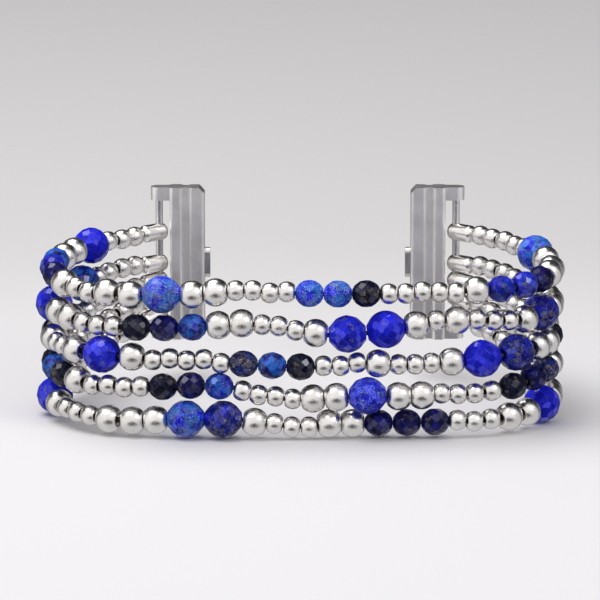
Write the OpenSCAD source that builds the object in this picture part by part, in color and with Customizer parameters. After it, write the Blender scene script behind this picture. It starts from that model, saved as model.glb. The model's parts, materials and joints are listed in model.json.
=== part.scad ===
/* [Loop] */
// Half of the loop's width, from its middle to the cord at its widest place
half_width = 36.5; // [34:0.5:42]
// From the cord at the middle of the front back to the watch bars
loop_depth = 41.5; // [39:0.5:48]
// Between the two watch bars
bar_spacing = 45; // [42:0.5:50]
// How far the watch bars sit to the right of the loop's middle
watch_shift = 0.9; // [-2:0.1:2]
// Radius of the gently bowed front
front_radius = 200; // [120:10:400]
// Half length of the bowed front, along the cord
front_half_length = 23; // [20:0.5:25]
// From the middle of the front back to the loop's widest place
widest_depth = 17; // [14:0.5:22]
// How tightly the loop turns its front corners
corner_pull = 8.5; // [7:0.5:10]
// How straight the loop runs back from its widest place
side_pull = 10; // [6:0.5:12]
// How straight the loop runs where it leaves a bar
bar_pull = 9; // [6:0.5:11]
// Angle between a link and the line through both bars
bar_angle = 38; // [25:1:50]

/* [Small steel beads] */
// Diameter of a small steel bead
small_steel_d = 3; // [2.6:0.1:3.1]
// Length of a small steel bead along the cord
small_steel_length = 2.3; // [2:0.05:2.5]

/* [Large steel beads] */
// Diameter of a large steel bead
large_steel_d = 4.1; // [3.6:0.1:4.2]
// Length of a large steel bead along the cord
large_steel_length = 3.25; // [2.8:0.05:3.4]

/* [Small stone beads] */
// Diameter of a small stone bead, over its facets
small_stone_d = 4.05; // [3.6:0.05:4.1]
// Length of a small stone bead along the cord
small_stone_length = 3.95; // [3.5:0.05:4]

/* [Large stone beads] */
// Diameter of a large stone bead, over its facets
large_stone_d = 5.6; // [5:0.1:5.7]
// Length of a large stone bead along the cord
large_stone_length = 5.3; // [4.8:0.1:5.6]
// Facets round the middle of a stone bead
stone_facets = 8; // [6:2:10]

/* [Elastic cords] */
// Diameter of the elastic cord
cord_d = 0.7; // [0.6:0.05:0.8]
// Play between the cord and the bore of a bead, all round
bore_play = 0.35; // [0.3:0.01:0.4]
// Least space between neighbouring beads along the straight front
front_gap = 0.08; // [0.05:0.01:0.1]
// Least space between neighbouring beads round the sides, where they fan out
side_gap = 0.2; // [0.18:0.01:0.25]
// Space between the beads on each side of a place where the strap bends
bend_gap = 0.5; // [0.4:0.05:0.6]
// How far one stretching place opens
stretch = 2.4; // [1.5:0.1:2.5]

/* [End links] */
// Diameter of an end link
link_d = 2.6; // [2.2:0.05:2.6]
// Length of an end link
link_length = 4.6; // [4.2:0.1:5]
// From the bar's middle to the near end of its links
link_nose = 1.1; // [1:0.05:1.2]
// Radius of an end link's rounded ends
link_round = 0.85; // [0.5:0.05:0.95]
// Running clearance between a link and its bar, all round
link_play = 0.05; // [0.03:0.01:0.08]

/* [Watch lugs] */
// Diameter of a watch bar
bar_d = 1.1; // [0.9:0.05:1.2]
// Length of a lug, along its bar
lug_length = 23.4; // [23.2:0.1:25]
// Thickness of the ears that hold a bar
ear_thickness = 2; // [1.6:0.1:2.1]
// Height of the lugs' middle over the surface that the strap stands on
lug_height = 17.5; // [17:0.1:18]
// From the bar's middle to the block of its lug
bar_to_block = 1.6; // [1.5:0.1:2]
// Length of a lug's block, from the ears to the watch
block_length = 2; // [1.6:0.1:2.6]
// Thickness of a lug's block, from front to back
block_thickness = 3.6; // [3.4:0.1:4]
// Length of the neck between the block and the tongue
neck_length = 0.9; // [0.7:0.1:1.2]
// Thickness of the neck
neck_thickness = 2.2; // [2:0.1:2.4]
// Length of the tongue that slides into the watch
tongue_length = 2.4; // [2.3:0.1:3]
// Thickness of the tongue
tongue_thickness = 3.4; // [3.3:0.1:3.8]
// Radius of the round edges of block and tongue
lug_round = 0.6; // [0.4:0.05:0.8]

/* [Latch] */
// Length of the latch's plunger, along the tongue
plunger_length = 4.6; // [4:0.1:6]
// Thickness of the plunger
plunger_thickness = 1.5; // [1.2:0.05:1.6]
// How far the plunger stands out of the tongue
plunger_reach = 0.8; // [0.75:0.05:1.1]
// Travel of the plunger
plunger_travel = 0.7; // [0.5:0.05:0.7]
// Overhang of the plunger's flange, all round
flange_overhang = 0.4; // [0.3:0.05:0.45]
// Thickness of the plunger's flange
flange_thickness = 0.45; // [0.35:0.05:0.5]
// Thickness of the plate that keeps the plunger in
retainer_thickness = 0.4; // [0.3:0.05:0.5]
// Sliding clearance round the plunger
plunger_play = 0.06; // [0.04:0.01:0.1]
// Outer diameter of the latch's spring
spring_d = 1.1; // [0.9:0.05:1.15]
// Diameter of the spring's wire
wire_d = 0.2; // [0.15:0.01:0.22]
// Curls of the spring
curls = 3; // [2:1:3]

/* [Hidden] */
$fn = 48;
SIDES = [-1, 1];
SIDE_NAMES = ["left", "right"];
STRANDS = [0:4];
NUDGE = 0.5;          // overlap of a cutting tool past the face that it opens
FIT = 0.02;           // clearance round a piece that is pressed in
RIPPLE = 2.5;         // half the length over which a strand's course is evened out
STILL = 0.04;         // share of the spare cord that a bead gets where the strand runs straight
FRONT_STEPS = 23;     // straight runs in each half of the bowed front's plan
CURVE_STEPS = 25;     // and in each of the two curves after it
TURN_REACH = 0.6;     // how far to each side a strand's direction is taken
CORD_SIDES = 6;
STONE_RIM = 0.22;     // width of the flat rim round the bore of a stone bead
STONE_ROW = 0.27;     // height of a stone's second row of corners, as a share of its length
STONE_TURN = 70;      // degrees that a stone is turned for each millimetre of its place in the tables
SOCKET = 2.2;         // depth of the socket in an end link
SOCKET_END = 0.2;     // space between the cord's end and the bottom of its socket
EAR_SET_BACK = 0.35;  // how much less an ear reaches past the bar than the block is from it
WIRE_SIDES = 8;       // straight runs in one curl of the spring
BORE_D = cord_d + 2 * bore_play;

// The tables of places below are drawn for a half front of 23 mm, and those of heights for lugs
// whose middle is 17.5 mm up. They grow and shrink with these two lengths.
ALONG = front_half_length / 23;
UP = lug_height / 17.5;

// Beads are written as letters, in the order in which they are threaded from the middle of the
// front outwards: s and S are small and large steel, l and L are small and large stone.
KINDS = "sSlL";
KIND_NAMES = ["small_steel_beads", "large_steel_beads", "small_stone_beads", "large_stone_beads"];
KIND_D = [small_steel_d, large_steel_d, small_stone_d, large_stone_d];
KIND_LENGTH = [small_steel_length, large_steel_length, small_stone_length, large_stone_length];

// Where each strand's threading starts, along the cord from the middle of the front
START = ALONG * [-0.95, 0.3, 1.85, -0.1, -2.7];
// Where the straight front of each strand ends, on the left and on the right
FRONT_END = ALONG * [[26.4, 28.4, 22.6, 29.3, 22.7], [23.3, 26.4, 23.2, 26.1, 26.1]];
// Beads of the front, on the left and on the right
FRONT = [
    ["ssssSSLS", "sssSSllls", "lllsssss", "sssslllsss", "sSLLS"],
    ["lllsssss", "SLLSsSs", "sssSsssS", "SSLSSsss", "ssSSlllss"]
];
// Beads from the front round the side and back to the bend before the links
FLANK = [
    ["SssSlllSSLs", "ssSSLlssLss", "SLSssSllsssss", "sSllllSssss", "SSsssSLlssssss"],
    ["SlllSSsSLsss", "ssSLSSSlssss", "LLSSlsSsSsss", "slllSsSsssss", "sSSLSSssslss"]
];
// Beads between the bend and a link
TAIL = "ss";

// Height of each strand along the cord: where, counted from the middle of the front, and how high
HEIGHTS = [
    [[-58, 22.1], [-42, 21.8], [-33, 20.8], [-26, 20.7], [-16, 21.2], [-8, 21.8], [0, 21.3],
     [10, 21.2], [15, 21.5], [18, 21.1], [21, 21.4], [30, 21.3], [36, 21.6], [42, 21.6], [58, 22]],
    [[-58, 16.7], [-50, 16.5], [-42, 16.9], [-32, 16.2], [-20, 16], [-15, 16.3], [-9, 17],
     [-3, 16.5], [0, 15.8], [3, 15.2], [7, 15.1], [12, 16], [17, 17], [21, 17.4], [26, 17.1],
     [32, 16.5], [42, 16.7], [50, 16.5], [58, 16.7]],
    [[-58, 12.2], [-54, 12.2], [-42, 11.8], [-36, 11.7], [-30, 11.8], [-26, 11.8], [-21, 11.4],
     [-16, 11.6], [-12, 11.4], [-8, 10.9], [0, 10.7], [4, 10.4], [7, 11], [10, 11.4], [14, 10.9],
     [21, 10.8], [26, 11.4], [30, 11.7], [36, 11.8], [42, 11.9], [54, 12.2], [58, 12.3]],
    [[-58, 8.8], [-54, 8.1], [-50, 7.6], [-42, 7.7], [-38, 7.5], [-30, 7.2], [-24, 7.2],
     [-16, 7.8], [-11, 7.95], [-7, 6.8], [-3, 5.8], [1, 5.8], [5, 6.1], [8, 6.7], [11, 6.7],
     [14, 6.4], [28, 6.4], [34, 7.1], [38, 7.85], [42, 7.7], [50, 7.6], [54, 8.1], [58, 8.8]],
    [[-58, 5.2], [-54, 3.8], [-50, 3], [-46, 2.85], [-38, 2.85], [-32, 2.4], [-24, 2.4],
     [-19, 2.85], [-7, 2.85], [-4, 2.2], [-2, 1.7], [0, 1.75], [2, 2.1], [10, 2.1], [16, 2.25],
     [22, 2.4], [27, 2.2], [31, 2.3], [34, 2.85], [46, 2.85], [50, 3], [54, 3.8], [58, 5.2]]
];
// How far each strand lies behind the loop's outline, where two thick beads sit one over the other
DEPTHS = [[[0, 0]], [[0, 0]], [[0, 0]],
    [[2, 0], [6, -0.8], [13, -0.8], [17, 0]],
    [[2, 0], [6, 0.8], [13, 0.8], [17, 0]]];
// Height of each strand at the bend before the links, and of its link on the bar
BEND_Z = UP * [22.1, 17.4, 14, 10.6, 7.2];
BAR_Z = UP * [22.2, 17.35, 14.7, 12.05, 9.4];

// Where each strand parts on the front, on the left and on the right: at the places where it runs
// most nearly straight out, so that the next beads slide along their cord
INNER_CUT = ALONG * [[5.8, 6.9, 6.3, 9.8, 8.6], [7.2, 3.7, 9.2, 6.6, 9]];
OUTER_CUT = ALONG * [[17.4, 21.7, 20.1, 21.9, 19.4], [20.9, 20.5, 19.8, 21.3, 21.2]];
// How far past the widest place each strand parts at the side
SIDE_CUT = ALONG * [[-2.9, -5.1, -0.9, -1.5, -4.5], [-2.7, -1.4, 0.3, 0.5, -0.6]];

LINK_REACH = link_length - link_nose;
TAIL_LENGTH = LINK_REACH + bend_gap / 2 + side_gap + 2 * (small_steel_length + side_gap);
CORD_LAP = stretch + 0.5;        // how far a cord reaches into the beads past a stretching place
BEND_LAP = bend_gap / 2 + 0.8;   // and past a bend, where the cord doesn't slide
CORD_STEP = 0.35;                // space between the ends of two lengths of one cord, inside a bead
FRONT_Y = (large_stone_d / 2 - loop_depth - block_thickness / 2) / 2;
BAR_Y = FRONT_Y + loop_depth;

// The loop's plan, as points on one side of it: a bowed front and two smooth curves
function bezier(p, t) =
    p[0] * pow(1 - t, 3) + 3 * p[1] * t * pow(1 - t, 2) + 3 * p[2] * t * t * (1 - t)
    + p[3] * pow(t, 3);
function bow(s) =
    let (a = s / front_radius * 180 / PI)
    [front_radius * sin(a), FRONT_Y + front_radius * (1 - cos(a))];
function bar_x(side) = bar_spacing / 2 + SIDES[side] * watch_shift;
function corner(side) =
    let (a = front_half_length / front_radius * 180 / PI, p = bow(front_half_length))
    [p, p + corner_pull * [cos(a), sin(a)],
     [half_width, FRONT_Y + widest_depth - corner_pull], [half_width, FRONT_Y + widest_depth]];
function back(side) =
    [[half_width, FRONT_Y + widest_depth], [half_width, FRONT_Y + widest_depth + side_pull],
     [bar_x(side) + bar_pull * cos(bar_angle), BAR_Y - bar_pull * sin(bar_angle)],
     [bar_x(side), BAR_Y]];
FRONT_PLACES = [for (i = [0:FRONT_STEPS - 1]) front_half_length * i / FRONT_STEPS];
function outline(side) = concat(
    [for (s = FRONT_PLACES) bow(s)],
    [for (i = [0:CURVE_STEPS - 1]) bezier(corner(side), i / CURVE_STEPS)],
    [for (i = [0:CURVE_STEPS]) bezier(back(side), i / CURVE_STEPS)]
);
function runs(p) =
    [for (i = 0, run = 0; i < len(p);
          run = i + 1 < len(p) ? run + norm(p[i + 1] - p[i]) : run, i = i + 1) run];
OUTLINES = [for (side = [0, 1]) outline(side)];
RUNS = [for (side = [0, 1]) runs(OUTLINES[side])];
X_ALONG = [for (side = [0, 1]) [for (i = [0:len(RUNS[side]) - 1])
    [RUNS[side][i], OUTLINES[side][i][0]]]];
Y_ALONG = [for (side = [0, 1]) [for (i = [0:len(RUNS[side]) - 1])
    [RUNS[side][i], OUTLINES[side][i][1]]]];
BAR_AT = [for (side = [0, 1]) RUNS[side][len(RUNS[side]) - 1]];
BEND_AT = [for (side = [0, 1]) BAR_AT[side] - TAIL_LENGTH];
// The widest place, where the strap runs straight back
SIDE_AT = [for (side = [0, 1]) RUNS[side][len(FRONT_PLACES) + CURVE_STEPS]];

// Heights of a strand over its whole length, from one bar to the other
function tail_height(k, side) =
    let (rise = (BAR_Z[k] - BEND_Z[k]) / TAIL_LENGTH)
    [[BEND_AT[side], BEND_Z[k]], [BAR_AT[side] + TAIL_LENGTH, BAR_Z[k] + rise * TAIL_LENGTH]];
function heights(k) = concat(
    [for (i = [1, 0]) let (h = tail_height(k, 0)[i]) [-h[0], h[1]]],
    [for (h = HEIGHTS[k]) [ALONG * h[0], UP * h[1]]],
    tail_height(k, 1)
);
function depths(k) = [for (d = DEPTHS[k]) ALONG * d];
HEIGHT_ALONG = [for (k = STRANDS) heights(k)];
DEPTH_ALONG = [for (k = STRANDS) depths(k)];
// The mean of a table's values near a place, which rounds off its corners
function evened(table, s) =
    total([for (i = [-2:2]) lookup(s + i * RIPPLE / 2, table)]) / 5;

// A point of a strand's cord, at a place counted along the cord from the middle of the front
function place(k, s) =
    let (side = s < 0 ? 0 : 1)
    [SIDES[side] * lookup(abs(s), X_ALONG[side]),
     lookup(abs(s), Y_ALONG[side]) + evened(DEPTH_ALONG[k], s), evened(HEIGHT_ALONG[k], s)];

// How much a strand turns between two places, in radians
function way_at(k, s) = place(k, s + TURN_REACH) - place(k, s - TURN_REACH);
function turn(k, from, to) =
    let (a = way_at(k, from), b = way_at(k, to))
    atan2(norm(cross(a, b)), a * b) * PI / 180;

// Threading: as many beads of a pattern as fit in a length of cord, with small steel ones after it
function kind(letter) = search(letter, KINDS)[0];
function bead_length(letter) = KIND_LENGTH[kind(letter)];
function threaded(pattern, room, gap, i = 0) =
    let (letter = i < len(pattern) ? pattern[i] : "s", need = bead_length(letter) + gap)
    need > room ? [] : concat([letter], threaded(pattern, room - need, gap, i + 1));
function total(v, i = 0) = i < len(v) ? v[i] + total(v, i + 1) : 0;
// Places at which beads start, when each has its own length and its own share of the slack
function starts(letters, from, way, slack) =
    [for (i = 0, s = from; i <= len(letters);
          s = i < len(letters) ? s + way * (bead_length(letters[i]) + slack[i]) : s, i = i + 1) s];
// Beads between two places of a strand, each as [letter, where it starts, where it ends]. They
// lie apart by the least gap, and where the strand turns they share out the rest of the cord.
function spread(k, pattern, from, to, gap) =
    let (
        way = from < to ? 1 : -1,
        letters = threaded(pattern, abs(to - from), gap),
        spare = abs(to - from) - total([for (c = letters) bead_length(c)]),
        even = starts(letters, from, way, [for (c = letters) spare / len(letters)]),
        turns = [for (i = [0:len(letters) - 1]) STILL + turn(k, even[i], even[i + 1])],
        at = starts(letters, from, way, [for (t = turns) spare * t / total(turns)])
    )
    [for (i = [0:len(letters) - 1]) [letters[i], at[i], at[i + 1]]];
function half_strand(k, side) =
    let (way = SIDES[side], front = way * FRONT_END[side][k], bend = way * BEND_AT[side])
    concat(
        spread(k, FRONT[side][k], START[k], front, front_gap),
        spread(k, FLANK[side][k], front, bend - way * bend_gap / 2, side_gap),
        spread(k, TAIL, bend + way * bend_gap / 2, way * (BAR_AT[side] - LINK_REACH), side_gap)
    );
BEADS = [for (k = STRANDS) [for (side = [0, 1]) half_strand(k, side)]];

// Each strand's cord runs straight from the end of one bead to the next, to the bars
function knots(k, side) =
    let (beads = BEADS[k][side], way = SIDES[side])
    concat([START[k]], [for (b = beads) b[2]], [way * BAR_AT[side]]);

// The strap's segments from the middle outwards, and where each ends on its own cords
SEGMENTS = ["centre", "front", "corner", "side", "tail"];
function segment_end(k, side) = [INNER_CUT[side][k], OUTER_CUT[side][k],
    SIDE_AT[side] + SIDE_CUT[side][k], BEND_AT[side], BAR_AT[side]];
function segment(k, side, s) =
    len([for (e = segment_end(k, side)) if (abs(s) > e) e]);
function middle(bead) = (bead[1] + bead[2]) / 2;
// Where a segment's cord starts and ends: at the joint between its last bead and the next one
function joint_after(k, side, seg) =
    let (past = [for (b = BEADS[k][side]) if (segment(k, side, middle(b)) > seg) b[1]])
    len(past) > 0 ? past[0] : SIDES[side] * (BAR_AT[side] - LINK_REACH + SOCKET - SOCKET_END);
function lap(seg) = seg == 3 ? BEND_LAP : seg == 4 ? 0 : CORD_LAP;
function cord_from(k, side, seg) =
    seg == 0 ? START[k] : joint_after(k, side, seg - 1) + SIDES[side] * (lap(seg - 1) + CORD_STEP);
function cord_to(k, side, seg) = joint_after(k, side, seg) + SIDES[side] * lap(seg);

// Lays a piece that stands upright, centred on the origin, along a line
module along(from, to) {
    d = to - from;
    translate((from + to) / 2)
        rotate([0, acos(d[2] / norm(d)), atan2(d[1], d[0])])
            children();
}

// A round bead with flat ends, drilled through
module steel_bead(d, length) {
    difference() {
        intersection() {
            sphere(d = d);
            cylinder(h = length, d = d + 2 * NUDGE, center = true);
        }
        cylinder(h = length + 2 * NUDGE, d = BORE_D, center = true);
    }
}

// A cut stone bead: rings of points, each turned half a facet from the last, joined by triangles
module stone_bead(d, length) {
    n = stone_facets;
    rows = [-0.5, -STONE_ROW, 0, STONE_ROW, 0.5];
    function ring_r(h) = abs(h) == 0.5 ? BORE_D / 2 + STONE_RIM : sqrt(1 - 4 * h * h) * d / 2;
    points = [for (j = [0:4]) for (i = [0:n - 1])
        let (a = (i + (j % 2) / 2) * 360 / n)
        [ring_r(rows[j]) * cos(a), ring_r(rows[j]) * sin(a), rows[j] * length]];
    function at(j, i) = j * n + (i + n) % n;
    walls = [for (j = [0:3]) for (i = [0:n - 1]) each j % 2 == 0
        ? [[at(j, i), at(j + 1, i), at(j, i + 1)], [at(j + 1, i), at(j + 1, i + 1), at(j, i + 1)]]
        : [[at(j, i), at(j + 1, i), at(j + 1, i + 1)], [at(j, i), at(j + 1, i + 1), at(j, i + 1)]]];
    ends = [[for (i = [0:n - 1]) at(0, i)], [for (i = [n - 1:-1:0]) at(4, i)]];
    difference() {
        polyhedron(points, concat(walls, ends), convexity = 2);
        cylinder(h = length + 2 * NUDGE, d = BORE_D, center = true);
    }
}

// One bead on its cord; each stone is turned by its own angle, as it was threaded
module bead(k, b) {
    i = kind(b[0]);
    along(place(k, b[1]), place(k, b[2]))
        if (i < 2) steel_bead(KIND_D[i], KIND_LENGTH[i]);
        else rotate(STONE_TURN * b[1] / ALONG) stone_bead(KIND_D[i], KIND_LENGTH[i]);
}

// All beads of one kind in one segment of the strap, on all five strands
function beads_of(side, seg, letter) =
    [for (k = STRANDS) for (b = BEADS[k][side])
        if (b[0] == letter && segment(k, side, middle(b)) == seg) [k, b]];
module segment_beads(side, seg, letter) {
    for (found = beads_of(side, seg, letter)) bead(found[0], found[1]);
}

// A tube through points, with its ends square to its run
module tube(points, r) {
    n = CORD_SIDES;
    last = len(points) - 1;
    function run_at(i) = points[min(i + 1, last)] - points[max(i - 1, 0)];
    rings = [for (i = [0:last]) for (j = [0:n - 1])
        let (t = run_at(i) / norm(run_at(i)), a = cross([0, 0, 1], t), u = a / norm(a), v = cross(t, u))
        points[i] + r * (cos(j * 360 / n) * u + sin(j * 360 / n) * v)];
    walls = [for (i = [0:last - 1]) for (j = [0:n - 1]) each
        [[i * n + j, (i + 1) * n + j, (i + 1) * n + (j + 1) % n],
         [i * n + j, (i + 1) * n + (j + 1) % n, i * n + (j + 1) % n]]];
    ends = [[for (j = [0:n - 1]) j], [for (j = [n - 1:-1:0]) last * n + j]];
    polyhedron(rings, concat(walls, ends), convexity = 6);
}

// A length of one strand's cord between two places, straight through each bead
module cord(k, from, to) {
    left = knots(k, 0);
    stops = concat([for (i = [len(left) - 1:-1:1]) left[i]], knots(k, 1));
    xs = [for (s = stops) [s, place(k, s)[0]]];
    ys = [for (s = stops) [s, place(k, s)[1]]];
    zs = [for (s = stops) [s, place(k, s)[2]]];
    low = min(from, to);
    high = max(from, to);
    between = concat([low], [for (s = stops) if (s > low + FIT && s < high - FIT) s], [high]);
    tube([for (s = between) [lookup(s, xs), lookup(s, ys), lookup(s, zs)]], cord_d / 2);
}

module segment_cords(side, seg) {
    for (k = STRANDS) cord(k, cord_from(k, side, seg), cord_to(k, side, seg));
}

// The middle segment's cords run through both of its halves
module centre_cords() {
    for (k = STRANDS) cord(k, cord_to(k, 0, 0), cord_to(k, 1, 0));
}

// Half of a barrel's outline, with rounded ends, standing on the axis
module barrel_outline(r, length, round_by) {
    intersection() {
        union() {
            translate([0, round_by]) square([r, length - 2 * round_by]);
            square([r - round_by, length]);
            for (y = [round_by, length - round_by])
                translate([r - round_by, y]) circle(round_by);
        }
        square([r, length]);
    }
}

// An end link: a rounded barrel with a cross bore for the bar and a socket for the cord
module end_link(side, k) {
    way = SIDES[side];
    bar = place(k, way * BAR_AT[side]);
    mouth = place(k, way * (BAR_AT[side] - LINK_REACH));
    reach = norm(mouth - bar);
    difference() {
        along(bar, mouth)
            translate([0, 0, reach / 2 - link_length])
                rotate_extrude() barrel_outline(link_d / 2, link_length, link_round);
        translate([bar[0], bar[1], bar[2] - link_d])
            cylinder(h = 2 * link_d, d = bar_d + 2 * link_play);
        along(bar, mouth)
            translate([0, 0, reach / 2 - SOCKET])
                cylinder(h = SOCKET + NUDGE, d = BORE_D);
    }
}

// Puts a piece made for the right-hand lug, with its bar on the origin, on either side
module at_bar(side) {
    translate([SIDES[side] * bar_x(side), BAR_Y, lug_height])
        rotate([0, 0, side == 0 ? 180 : 0])
            children();
}

module bar(side) {
    at_bar(side)
        cylinder(h = lug_length - ear_thickness, d = bar_d, center = true);
}

// An upright block with its four long edges rounded
module rounded_block(x0, x1, thickness, round_by) {
    linear_extrude(lug_length, center = true) {
        translate([x0 + round_by, -thickness / 2]) square([x1 - x0 - 2 * round_by, thickness]);
        translate([x0, round_by - thickness / 2]) square([x1 - x0, thickness - 2 * round_by]);
        for (x = [x0 + round_by, x1 - round_by]) for (y = [-1, 1])
            translate([x, y * (thickness / 2 - round_by)]) circle(round_by);
    }
}

BLOCK_X = -bar_to_block;
NECK_X = BLOCK_X - block_length;
TONGUE_X = NECK_X - neck_length;
FACE_X = TONGUE_X - tongue_length;
EAR_R = bar_to_block - EAR_SET_BACK;
POCKET_X = FACE_X + retainer_thickness + flange_thickness + plunger_travel + 2 * plunger_play;
SPRING_X = BLOCK_X - block_length / 2;

// The room between the ears, for the links, and the rounded corners of a lug seen from the front
module lug_outline() {
    rotate([90, 0, 0])
        linear_extrude(block_thickness + 2 * NUDGE, center = true)
            difference() {
                translate([FACE_X, -lug_length / 2]) square([EAR_R - FACE_X, lug_length]);
                translate([BLOCK_X, ear_thickness - lug_length / 2])
                    square([EAR_R - BLOCK_X + NUDGE, lug_length - 2 * ear_thickness]);
                for (z = [-1, 1])
                    translate([FACE_X, z * lug_length / 2])
                        rotate(45) square(2 * lug_round, center = true);
            }
}

// The lug: two ears, a block, a neck and a tongue, with the latch's pocket in the tongue
module lug(side) {
    at_bar(side)
        difference() {
            intersection() {
                union() {
                    cylinder(h = lug_length, r = EAR_R, center = true);
                    translate([BLOCK_X - NUDGE, -EAR_R, -lug_length / 2])
                        cube([bar_to_block + NUDGE, 2 * EAR_R, lug_length]);
                    rounded_block(NECK_X, BLOCK_X, block_thickness, lug_round);
                    translate([TONGUE_X - NUDGE, -neck_thickness / 2, -lug_length / 2])
                        cube([neck_length + 2 * NUDGE, neck_thickness, lug_length]);
                    rounded_block(FACE_X, TONGUE_X, tongue_thickness, lug_round);
                }
                lug_outline();
            }
            cylinder(h = lug_length - ear_thickness + 2 * FIT, d = bar_d + 2 * FIT, center = true);
            latch_pocket();
        }
}

// A flat slab with round ends, lying across the tongue
module pill(x0, x1, length, thickness) {
    translate([x0, 0, 0])
        rotate([0, 90, 0])
            linear_extrude(x1 - x0) {
                square([length - thickness, thickness], center = true);
                for (z = [-1, 1]) translate([z * (length - thickness) / 2, 0]) circle(d = thickness);
            }
}

FLANGE_LENGTH = plunger_length + 2 * flange_overhang;
FLANGE_THICKNESS = plunger_thickness + 2 * flange_overhang;

module latch_pocket() {
    pill(FACE_X - NUDGE, POCKET_X, FLANGE_LENGTH + 2 * plunger_play,
        FLANGE_THICKNESS + 2 * plunger_play);
    translate([POCKET_X - NUDGE, 0, 0])
        rotate([0, 90, 0]) cylinder(h = SPRING_X - POCKET_X + NUDGE, d = spring_d + 2 * plunger_play);
}

FLANGE_X = FACE_X + retainer_thickness + plunger_play;

module latch_plunger(side) {
    at_bar(side) {
        pill(FACE_X - plunger_reach, FLANGE_X + flange_thickness / 2, plunger_length, plunger_thickness);
        pill(FLANGE_X, FLANGE_X + flange_thickness, FLANGE_LENGTH, FLANGE_THICKNESS);
    }
}

module latch_retainer(side) {
    at_bar(side)
        difference() {
            pill(FACE_X, FACE_X + retainer_thickness, FLANGE_LENGTH + 2 * (plunger_play - FIT),
                FLANGE_THICKNESS + 2 * (plunger_play - FIT));
            pill(FACE_X - NUDGE, FACE_X + retainer_thickness + NUDGE, plunger_length + 2 * plunger_play,
                plunger_thickness + 2 * plunger_play);
        }
}

// The latch's spring: one wire, wound round the way that the plunger moves
module latch_spring(side) {
    from = FLANGE_X + flange_thickness + FIT;
    rise = SPRING_X - FIT - from - wire_d;
    steps = curls * WIRE_SIDES;
    curl_r = (spring_d - wire_d) / 2;
    at_bar(side)
        tube([for (i = [0:steps])
            let (a = i * 360 / WIRE_SIDES)
            [from + wire_d / 2 + rise * i / steps, curl_r * cos(a), curl_r * sin(a)]], wire_d / 2);
}

// A segment has a node for each kind of bead that is threaded in it
function kinds_in(sides, seg) =
    [for (i = [0:3]) if (total([for (side = sides) len(beads_of(side, seg, KINDS[i]))]) > 0) i];
function names(prefix, endings) = [for (e = endings) str(prefix, "_", e)];
function segment_names(name, sides, seg) =
    names(str(name, SEGMENTS[seg]), concat([for (i = kinds_in(sides, seg)) KIND_NAMES[i]], ["cords"]));
LINK_NAMES = [for (k = STRANDS) str("end_link_", k + 1)];
LUG_NAMES = ["lug", "bar", "latch_plunger", "latch_retainer", "latch_spring"];

STEEL = "silver";
STONE = "mediumblue";
CORD = "dimgray";

for (i = [0:3])
    color(i < 2 ? STEEL : STONE) {
            segment_beads(0, 0, KINDS[i]);
            segment_beads(1, 0, KINDS[i]);
        }
color(CORD) centre_cords();
for (side = [0, 1]) {
    name = SIDE_NAMES[side];
    for (seg = [1:4]) {
        segment_name = str(name, "_", SEGMENTS[seg]);
        for (i = [0:3])
            color(i < 2 ? STEEL : STONE) segment_beads(side, seg, KINDS[i]);
        color(CORD) segment_cords(side, seg);
    }
    for (k = STRANDS)
        color(STEEL) end_link(side, k);
    color(STEEL) lug(side);
    color(STEEL) bar(side);
    color("gainsboro") latch_plunger(side);
    color(STEEL) latch_retainer(side);
    color("gray") latch_spring(side);
}
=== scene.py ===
# %% [markdown]
# A stretch watch band
#
# Five strands of beads, each on its own elastic cord, run round the wrist from one lug to the
# other. Small and large steel beads take turns with faceted blue stones. At each end a cord goes
# into a steel link, and the five links of a side swivel on the bar of a lug. Everything here is
# dressed over a measured model, so nothing has to be fitted by eye: the first cell loads it.

# %% Load the measured model
import json
import math
import bmesh
import bpy
import numpy as np
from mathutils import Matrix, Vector


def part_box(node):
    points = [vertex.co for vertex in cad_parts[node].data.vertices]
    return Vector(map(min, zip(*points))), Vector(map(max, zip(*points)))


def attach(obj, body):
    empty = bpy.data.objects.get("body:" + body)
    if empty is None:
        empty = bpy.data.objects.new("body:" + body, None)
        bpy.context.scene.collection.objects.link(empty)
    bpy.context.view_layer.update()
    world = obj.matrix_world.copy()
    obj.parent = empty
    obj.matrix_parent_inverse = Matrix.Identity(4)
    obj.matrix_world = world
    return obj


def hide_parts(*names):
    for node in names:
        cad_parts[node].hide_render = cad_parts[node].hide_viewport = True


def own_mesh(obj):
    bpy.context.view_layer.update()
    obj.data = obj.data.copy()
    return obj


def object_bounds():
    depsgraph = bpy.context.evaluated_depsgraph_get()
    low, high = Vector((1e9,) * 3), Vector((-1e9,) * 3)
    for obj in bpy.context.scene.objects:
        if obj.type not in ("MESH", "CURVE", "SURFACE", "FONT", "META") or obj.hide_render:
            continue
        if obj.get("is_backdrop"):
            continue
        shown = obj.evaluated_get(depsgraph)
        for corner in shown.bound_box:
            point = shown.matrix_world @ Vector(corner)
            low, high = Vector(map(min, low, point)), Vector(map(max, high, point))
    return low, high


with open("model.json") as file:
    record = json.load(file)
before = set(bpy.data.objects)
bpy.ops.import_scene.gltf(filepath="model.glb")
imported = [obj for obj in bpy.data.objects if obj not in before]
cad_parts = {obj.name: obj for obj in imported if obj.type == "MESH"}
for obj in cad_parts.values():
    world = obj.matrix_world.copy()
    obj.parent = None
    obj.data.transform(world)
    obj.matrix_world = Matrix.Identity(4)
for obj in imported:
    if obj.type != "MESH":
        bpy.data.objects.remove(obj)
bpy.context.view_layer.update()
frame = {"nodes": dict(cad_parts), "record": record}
MM = 0.001

# %% [markdown]
# The camera
#
# The band was photographed from the front, a little above, with a long lens that hardly shows
# perspective. A long focal length from 62 cm away gives the same view. The alternative, moving
# the camera close with a short lens, would blow up the front beads against those at the sides.

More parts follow.
